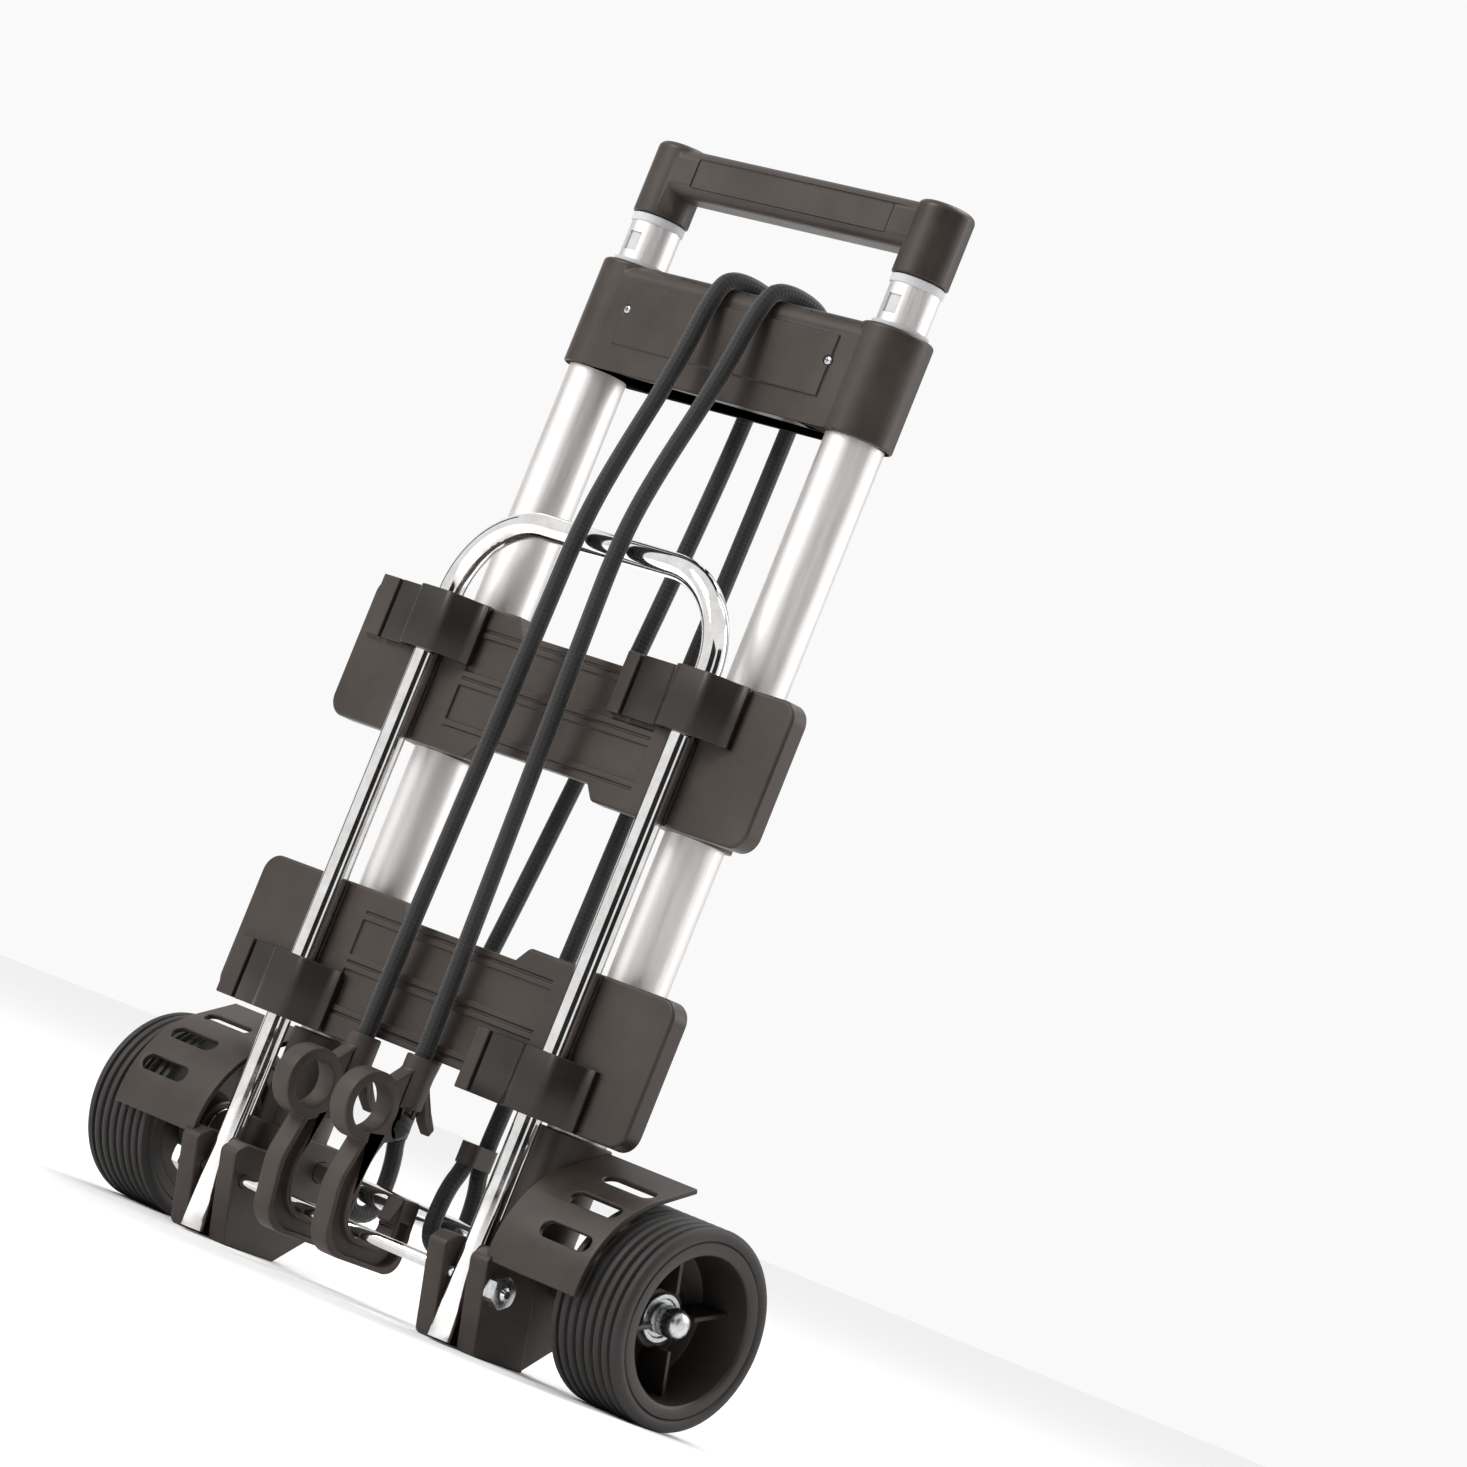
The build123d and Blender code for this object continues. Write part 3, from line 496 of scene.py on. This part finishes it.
# %% [markdown]
# ## Moulded pieces
# An injection-moulded part has no knife edges: the mould's corners are cut with a small
# round cutter, so every edge carries a radius of about half a millimetre, and light runs
# along it. The CAD solids have the right shape but sharp edges, so we copy each one, merge
# its loose triangles, melt the flat ones together and bevel every edge that turns sharply,
# except round a bore, where a bevel leaves dark wedges against the tube.
# Where three short edges meet, a bevel can shoot out a spike, so each vertex that leaves the
# solid's surface is put back on it.

# %% Round the edges of the moulded nodes
SHORT_EDGE = 0.06 * MM    # shorter edges are merged first, or the bevel folds over itself
BORE_REACH = 14.4 * MM    # a little more than the radius of the outer tube


def hugs_tube(edge):
    """Edges of a bore sit against a tube, and stay sharp."""
    return any(Vector((v.co.x - at.x, v.co.y - at.y)).length < BORE_REACH
               for v in edge.verts for at in tube_at.values())


def softened(node, radius):
    """A copy of a CAD node with rounded edges."""
    bm = bmesh.new()
    bm.from_mesh(frame["nodes"][node].data)
    bmesh.ops.remove_doubles(bm, verts=bm.verts, dist=SHORT_EDGE)
    bmesh.ops.dissolve_degenerate(bm, edges=bm.edges, dist=0.01 * MM)
    shape = BVHTree.FromBMesh(bm)
    bmesh.ops.dissolve_limit(bm, angle_limit=radians(0.1), use_dissolve_boundaries=False,
                             verts=bm.verts, edges=bm.edges)
    edges = [e for e in bm.edges
             if len(e.link_faces) == 2 and e.calc_face_angle() > radians(30)
             and ("collar" in node or not hugs_tube(e))]
    bmesh.ops.bevel(bm, geom=edges, affect="EDGES", offset=radius, offset_type="OFFSET",
                    segments=2, profile=0.5, clamp_overlap=False, material=-1)
    for v in bm.verts:
        near, normal, _, away = shape.find_nearest(v.co)
        if away > 0.6 * radius or (v.co - near).dot(normal) > 0.02 * MM:
            v.co = near
    bmesh.ops.remove_doubles(bm, verts=bm.verts, dist=0.001 * MM)
    return bm


# Name, edge radius in millimetres, finish.
ROUNDED = (
    ("upper_cross_piece", 0.7, polypropylene), ("mid_cross_piece", 0.6, polypropylene),
    ("lower_cross_piece", 0.6, polypropylene),
    ("grip_front", 0.6, polypropylene), ("grip_back", 0.6, polypropylene))
ROUNDED_PAIRS = (
    ("base_block", 0.8, polypropylene), ("fender", 0.6, polypropylene),
    ("mid_strap", 0.5, clip_plastic_painted_shade), ("lower_strap", 0.5, clip_plastic_painted_shade),
    ("cord_hook", 0.9, hook_plastic), ("collar", 0.4, collar_nylon))
for name, radius, finish in ROUNDED:
    make_piece("moulded_" + name, softened(name, radius * MM), finish, name, flatter=True)
for name, radius, finish in ROUNDED_PAIRS:
    for side, sign in SIDES:
        node = name + "_" + side
        make_piece("moulded_" + node, softened(node, radius * MM), finish, node,
                   flatter="strap" not in node)


# %% [markdown]
# ## Wheels
# A wheel is a turned shape twice over: a rubber tyre with eight ribs and seven grooves, and
# a plastic rim with a web and a hub. Both are outlines in distance along the axle and
# radius, spun once round the axle line. Four flat ribs brace the hub, and those are boxes.

# %% Turn an outline round the axle
def spun(outline, centre, steps=96):
    """Spin a closed outline of (x, radius), in millimetres, round an axis along X."""
    bm = bmesh.new()
    verts = [bm.verts.new((x * MM, centre.y, centre.z + r * MM)) for x, r in outline]
    edges = [bm.edges.new((a, b)) for a, b in zip(verts, verts[1:] + verts[:1])]
    bmesh.ops.spin(bm, geom=verts + edges, cent=centre, axis=(1, 0, 0), angle=2 * pi, steps=steps,
                   use_merge=True, use_duplicate=False)
    bmesh.ops.remove_doubles(bm, verts=bm.verts, dist=0.001 * MM)
    bmesh.ops.recalc_face_normals(bm, faces=bm.faces)
    return bm


def to_side(bm, sign):
    """Keep a bmesh on the right, or mirror it to the left."""
    if sign < 0:
        bmesh.ops.scale(bm, vec=(-1, 1, 1), verts=bm.verts)
        bmesh.ops.recalc_face_normals(bm, faces=bm.faces)
    return bm


# %% Tyres
TYRE_FROM, TYRE_TO = low("tyre_right").x / MM, high("tyre_right").x / MM
TYRE_R = wheel_radius / MM
GROOVES, GROOVE_DEEP = 7, 1.9
GROOVE_HALF = 0.07          # half a groove's floor, in rib pitches
END_RIB_LEAN = 0.3          # the two end ribs are drawn in from the side walls
RIB_CROWN = [(0.22, -0.35), (0.34, -0.08), (0.5, 0.0), (0.66, -0.08), (0.78, -0.35)]
pitch = (TYRE_TO - TYRE_FROM) / (GROOVES + 1)

tyre_outline = [(TYRE_FROM + 0.3, 39.6), (TYRE_FROM, 40.2), (TYRE_FROM, 42.6),
                (TYRE_FROM + 0.5, 43.9), (TYRE_FROM + 1.4, 44.8)]
for rib in range(GROOVES + 1):
    start = TYRE_FROM + rib * pitch
    lean = {0: END_RIB_LEAN, GROOVES: -END_RIB_LEAN}.get(rib, 0)
    tyre_outline += [(start + part * pitch + (lean if part != 0.5 else 0), TYRE_R + drop)
                     for part, drop in RIB_CROWN]
    if rib < GROOVES:
        tyre_outline += [(start + part * pitch, TYRE_R - GROOVE_DEEP)
                         for part in (1 - GROOVE_HALF, 1 + GROOVE_HALF)]
tyre_outline += [(TYRE_TO - 1.2, 44.7), (TYRE_TO - 0.4, 43.9), (TYRE_TO, 42.7),
                 (TYRE_TO - 0.1, 41.0), (TYRE_TO - 0.5, 40.2), (TYRE_TO - 1.2, 39.6)]
for side, sign in SIDES:
    tyre = to_side(spun(tyre_outline, axle_at), sign)
    make_piece("ribbed_tyre_" + side, tyre, rubber, "tyre_" + side)


# %% Rims
rim_outline = [
    (178.3, 39.5), (178.9, 38.9), (178.9, 34.6), (178.5, 33.7), (177.6, 33.1),   # outer edge
    (153.4, 32.3), (151.9, 31.8), (151.0, 30.4), (151.0, 23.4), (150.3, 22.7),   # web
    (150.3, 18.0), (151.0, 15.6), (152.6, 14.7), (157.3, 14.0), (158.0, 13.3),   # hub
    (158.0, 8.05), (134.5, 8.05),                                                # bore
    (134.5, 13.3), (135.2, 14.0), (145.6, 14.8), (147.0, 16.2), (147.0, 31.0),   # inner side
    (146.0, 32.4), (138.9, 33.1), (138.2, 33.9), (138.0, 38.9), (138.5, 39.5)]
RIB_THICK, RIB_X, RIB_R = 2.2, (149.5, 167.0), (12.6, 33.2)
RIB_SIZE = (RIB_X[1] - RIB_X[0], RIB_THICK, RIB_R[1] - RIB_R[0])
FIRST_RIB = 20    # degrees round the axle
for side, sign in SIDES:
    bm = spun(rim_outline, axle_at)
    for quarter in range(4):
        rib = bmesh.ops.create_cube(bm, size=1)["verts"]
        bmesh.ops.scale(bm, vec=[length * MM for length in RIB_SIZE], verts=rib)
        bmesh.ops.translate(bm, vec=(sum(RIB_X) / 2 * MM, 0, sum(RIB_R) / 2 * MM), verts=rib)
        edges = list({e for v in rib for e in v.link_edges})
        rounded = bmesh.ops.bevel(bm, geom=edges, affect="EDGES", offset=0.5 * MM,
                                  offset_type="OFFSET", segments=2, profile=0.5,
                                  clamp_overlap=True, material=-1)
        rib = list({v for f in rounded["faces"] for v in f.verts})
        turn = Matrix.Rotation(radians(90 * quarter + FIRST_RIB), 4, "X")
        bmesh.ops.transform(bm, matrix=Matrix.Translation(axle_at) @ turn, verts=rib)
    make_piece("ribbed_rim_" + side, to_side(bm, sign), wheel_plastic, "rim_" + side)


# %% [markdown]
# ## Hub washers and caps
# A pressed washer with a raised lip keeps the wheel on, and a domed push-on cap covers the
# axle's end. Both are turned, so both are outlines spun round the axle.

# %% Washers and caps
def both_sides(outline, centre, steps=64):
    """One bmesh with a turned shape on the right and its mirror image on the left."""
    bm = spun(outline, centre, steps)
    twin = bmesh.ops.duplicate(bm, geom=bm.verts[:] + bm.edges[:] + bm.faces[:])["geom"]
    verts = [g for g in twin if isinstance(g, bmesh.types.BMVert)]
    bmesh.ops.scale(bm, vec=(-1, 1, 1), verts=verts)
    bmesh.ops.reverse_faces(bm, faces=[g for g in twin if isinstance(g, bmesh.types.BMFace)])
    return bm


def join_into(bm, other):
    """Add a bmesh to another, and free it."""
    mesh = bpy.data.meshes.new("joined")
    other.to_mesh(mesh)
    other.free()
    bm.from_mesh(mesh)
    bpy.data.meshes.remove(mesh)


outer_washer = [(158.3, 5.2), (158.3, 10.7), (158.6, 11.0), (159.5, 11.0), (159.8, 10.7),
                (159.8, 9.0), (159.3, 8.6), (158.9, 8.3), (158.9, 5.2)]
inner_washer = [(133.3, 5.2), (133.3, 10.8), (133.5, 11.0), (134.0, 11.0), (134.2, 10.8),
                (134.2, 5.2)]
bm = both_sides(outer_washer, axle_at)
join_into(bm, both_sides(inner_washer, axle_at))
make_piece("pressed_washers", bm, zinc, "axle_washers")
cap_outline = [(159.9, 5.1), (159.9, 6.6), (160.2, 6.8), (168.6, 6.8), (170.2, 6.5),
               (171.5, 5.8), (172.4, 4.7), (172.9, 3.2), (173.0, 1.6), (173.0, 0.01),
               (164.5, 0.01), (164.5, 5.1)]
make_piece("domed_caps", both_sides(cap_outline, axle_at), zinc, "axle_caps")


# %% [markdown]
# ## Pivot bolt and nut
# The toe bar turns on one long bolt with a 6 mm shank. Its head and nut are hexagons whose
# corners are chamfered: we start from a six-sided cone of equal radii and cut round each end
# with twelve slanted planes.

# %% Bolt and nut
BOLT_ACROSS = high("pivot_nut").z - low("pivot_nut").z
CHAMFER_OUT, CHAMFER_UP = 0.5, 0.866    # the cutting plane's normal, at 30 degrees
CHAMFER_AT = 0.475                      # where it meets the end, in widths across


def hexagon(x_from, x_to):
    """A chamfered hexagon on the pivot line between two places in x."""
    bm = bmesh.new()
    corner = BOLT_ACROSS / 2 / cos(pi / 6)
    bmesh.ops.create_cone(bm, cap_ends=True, segments=6, radius1=corner, radius2=corner,
                          depth=x_to - x_from)
    bmesh.ops.rotate(bm, verts=bm.verts, cent=(0, 0, 0),
                     matrix=Matrix.Rotation(radians(30), 3, "Z"))
    for end in (-1, 1):
        for k in range(12):
            across, up = cos(pi * k / 6), sin(pi * k / 6)
            out = Vector((across * CHAMFER_OUT, up * CHAMFER_OUT, end * CHAMFER_UP))
            end_centre = Vector((0, 0, end * (x_to - x_from) / 2))
            on_plane = end_centre + Vector((across, up, 0)) * BOLT_ACROSS * CHAMFER_AT
            cut = bmesh.ops.bisect_plane(bm, geom=bm.verts[:] + bm.edges[:] + bm.faces[:],
                                         plane_co=on_plane, plane_no=out, clear_outer=True)
            rim = [g for g in cut["geom_cut"] if isinstance(g, bmesh.types.BMEdge)]
            bmesh.ops.holes_fill(bm, edges=rim, sides=0)
    bmesh.ops.rotate(bm, verts=bm.verts, cent=(0, 0, 0),
                     matrix=Matrix.Rotation(radians(90), 3, "Y"))
    bmesh.ops.translate(bm, verts=bm.verts,
                        vec=((x_from + x_to) / 2, pivot_at.y, pivot_at.z))
    bmesh.ops.recalc_face_normals(bm, faces=bm.faces)
    return bm


nut_low, nut_high = low("pivot_nut").x, high("pivot_nut").x
make_piece("hexagon_nut", hexagon(nut_low, nut_high), zinc, "pivot_nut")

SHANK_R, HEAD_TALL, SHANK_START = 3.0, 5, 4      # the shank starts inside the head
THREAD_LONG, THREAD_STEP, THREAD_DEEP = 12, 1.0, 0.35
bolt_low, bolt_high = low("pivot_bolt").x / MM, high("pivot_bolt").x / MM
thread = [(bolt_low + SHANK_START, 0.01), (bolt_low + SHANK_START, SHANK_R)]
x = nut_low / MM - THREAD_LONG
while x < bolt_high - 1.6:
    thread += [(x, SHANK_R), (x + THREAD_STEP / 2, SHANK_R - THREAD_DEEP)]
    x += THREAD_STEP
thread += [(bolt_high - 1.2, SHANK_R), (bolt_high - 0.5, SHANK_R - 0.7),
           (bolt_high, SHANK_R - 1.2), (bolt_high, 0.01)]
bm = spun(thread, pivot_at, 32)
join_into(bm, hexagon(bolt_low * MM, (bolt_low + HEAD_TALL) * MM))
make_piece("threaded_bolt", bm, chrome, "pivot_bolt")


# %% [markdown]
# ## Screws
# Self-tapping pan-head screws hold the cross pieces and the grip. A head is a low dome with
# a crossed recess. We make one head, cut its recess with two crossed bars, and set a copy on
# each place where the frame has a screw.

# %% One screw head, and a copy for every screw
def islands(node):
    """The centre and size of every separate solid in a CAD node."""
    bm = bmesh.new()
    bm.from_mesh(frame["nodes"][node].data)
    bmesh.ops.remove_doubles(bm, verts=bm.verts, dist=0.003 * MM)
    left, found = set(bm.verts), []
    while left:
        queue, part = [left.pop()], []
        while queue:
            v = queue.pop()
            part.append(v.co.copy())
            for e in v.link_edges:
                w = e.other_vert(v)
                if w in left:
                    left.discard(w)
                    queue.append(w)
        corners = [Vector([pick(p[i] for p in part) for i in range(3)]) for pick in (min, max)]
        found.append(((corners[0] + corners[1]) / 2, corners[1] - corners[0]))
    bm.free()
    return found


RECESS_LONG, RECESS_WIDE, RECESS_DEEP = 1.1, 0.24, 0.55    # in radii and heights of a head
HEAD_HIGH = 1.8 * MM


def screw_head():
    """A pan head of radius 1 and height 1, which faces +Z, with a crossed recess."""
    bm = bmesh.new()
    bmesh.ops.create_cone(bm, cap_ends=True, segments=32, radius1=1, radius2=1, depth=1)
    top = [e for e in bm.edges if all(v.co.z > 0.4 for v in e.verts)]
    bmesh.ops.bevel(bm, geom=top, affect="EDGES", offset=0.45, offset_type="OFFSET",
                    segments=4, profile=0.5, clamp_overlap=True, material=-1)
    mesh = bpy.data.meshes.new("head")
    bm.to_mesh(mesh)
    bm.free()
    head = bpy.data.objects.new("head", mesh)
    bars = bmesh.new()
    for size in ((RECESS_LONG, RECESS_WIDE, 1.0), (RECESS_WIDE, RECESS_LONG, 1.0)):
        bar = bmesh.ops.create_cube(bars, size=1)["verts"]
        bmesh.ops.scale(bars, vec=size, verts=bar)
        bmesh.ops.translate(bars, vec=(0, 0, 1 - RECESS_DEEP), verts=bar)
    bar_mesh = bpy.data.meshes.new("bars")
    bars.to_mesh(bar_mesh)
    bars.free()
    cutter = bpy.data.objects.new("bars", bar_mesh)
    for o in (head, cutter):
        bpy.context.scene.collection.objects.link(o)
    cut = head.modifiers.new("recess", "BOOLEAN")
    cut.object, cut.operation = cutter, "DIFFERENCE"
    cut.solver, cut.use_self = "EXACT", True
    evaluated = bpy.context.evaluated_depsgraph_get()
    done = bpy.data.meshes.new_from_object(head.evaluated_get(evaluated))
    for o in (head, cutter):
        bpy.data.objects.remove(o)
    return done


head_mesh = screw_head()
for node in ("upper_screws", "mid_screws", "lower_screws", "block_screws", "grip_screws"):
    bm = bmesh.new()
    for centre, size in islands(node):
        out = Vector((0, 1 if centre.y > tube_at["left"].y else -1, 0))
        radius, tall = size.x / 2, min(size.y, HEAD_HIGH)
        foot = centre + out * (size.y - tall) / 2
        one = head_mesh.copy()
        place = Matrix.Translation(foot) @ out.to_track_quat("Z", "Y").to_matrix().to_4x4()
        one.transform(place @ Matrix.Diagonal((radius, radius, tall, 1)))
        bm.from_mesh(one)
        bpy.data.meshes.remove(one)
    make_piece("crossed_" + node, bm, zinc, node)


# %% [markdown]
# ## Studio
# A pale floor, a pale world and three large soft lamps give the even light of a catalogue
# picture. Bright metal needs something dark to reflect, or it looks like paper, so a few
# dark cards stand outside the view. The floor and the cards are not part of the cart.

# %% Floor, world and lamps
CARD_ROUGH = 0.9


def flat_card(name, size, place, look_at, code):
    """A flat square that faces a point."""
    bm = bmesh.new()
    bmesh.ops.create_grid(bm, x_segments=1, y_segments=1, size=0.5)
    aim = (Vector(look_at) - Vector(place)).to_track_quat("Z", "Y").to_matrix().to_4x4()
    bm.transform(Matrix.Translation(place) @ aim @ Matrix.Diagonal((size[0], size[1], 1, 1)))
    mesh = bpy.data.meshes.new(name)
    bm.to_mesh(mesh)
    bm.free()
    card = bpy.data.objects.new(name, mesh)
    bpy.context.scene.collection.objects.link(card)
    finish = bpy.data.materials.new(name)
    finish.use_nodes = True
    shader = finish.node_tree.nodes["Principled BSDF"]
    shader.inputs["Base Color"].default_value = linear(code)
    shader.inputs["Roughness"].default_value = CARD_ROUGH
    mesh.materials.append(finish)
    return card


flat_card("floor", (14, 14), (0, 0, 0), (0, 0, 1), "F4F4F4")
CARDS = (
    ("card_left", (0.5, 1.6), (-1.9, -0.2, 0.6)), ("card_right", (2.0, 2.4), (2.9, 0.1, 0.7)),
    ("card_front", (2.4, 2.4), (2.0, -2.6, 0.7)), ("card_back", (0.6, 1.2), (-0.6, 1.9, 0.6)))
for name, size, place in CARDS:
    card = flat_card(name, size, place, (0, 0, 0.35), "0C0B0B")
    card.visible_camera = False
    card.visible_shadow = False

WORLD_STRENGTH = 0.95
world = bpy.data.worlds.new("studio")
world.use_nodes = True
background = world.node_tree.nodes["Background"]
background.inputs["Color"].default_value = linear("FFFFFF")
background.inputs["Strength"].default_value = WORLD_STRENGTH
bpy.context.scene.world = world


def lamp(name, place, look_at, size, power):
    """A soft rectangular lamp that faces a point."""
    data = bpy.data.lights.new(name, "AREA")
    data.shape = "RECTANGLE"
    data.size, data.size_y = size
    data.energy = power
    lit = bpy.data.objects.new(name, data)
    lit.location = place
    aim = Vector(look_at) - Vector(place)
    lit.rotation_euler = aim.to_track_quat("-Z", "Y").to_euler()
    bpy.context.scene.collection.objects.link(lit)


lamp("key", (-1.1, -2.3, 1.9), (0, 0, 0.25), (1.0, 1.4), 52)
lamp("side", (1.3, 1.6, 1.2), (0, 0, 0.25), (0.5, 1.6), 16)
lamp("top", (0.2, 0.9, 2.4), (0, 0, 0.3), (1.4, 1.0), 30)
bpy.context.scene.view_settings.view_transform = "Standard"
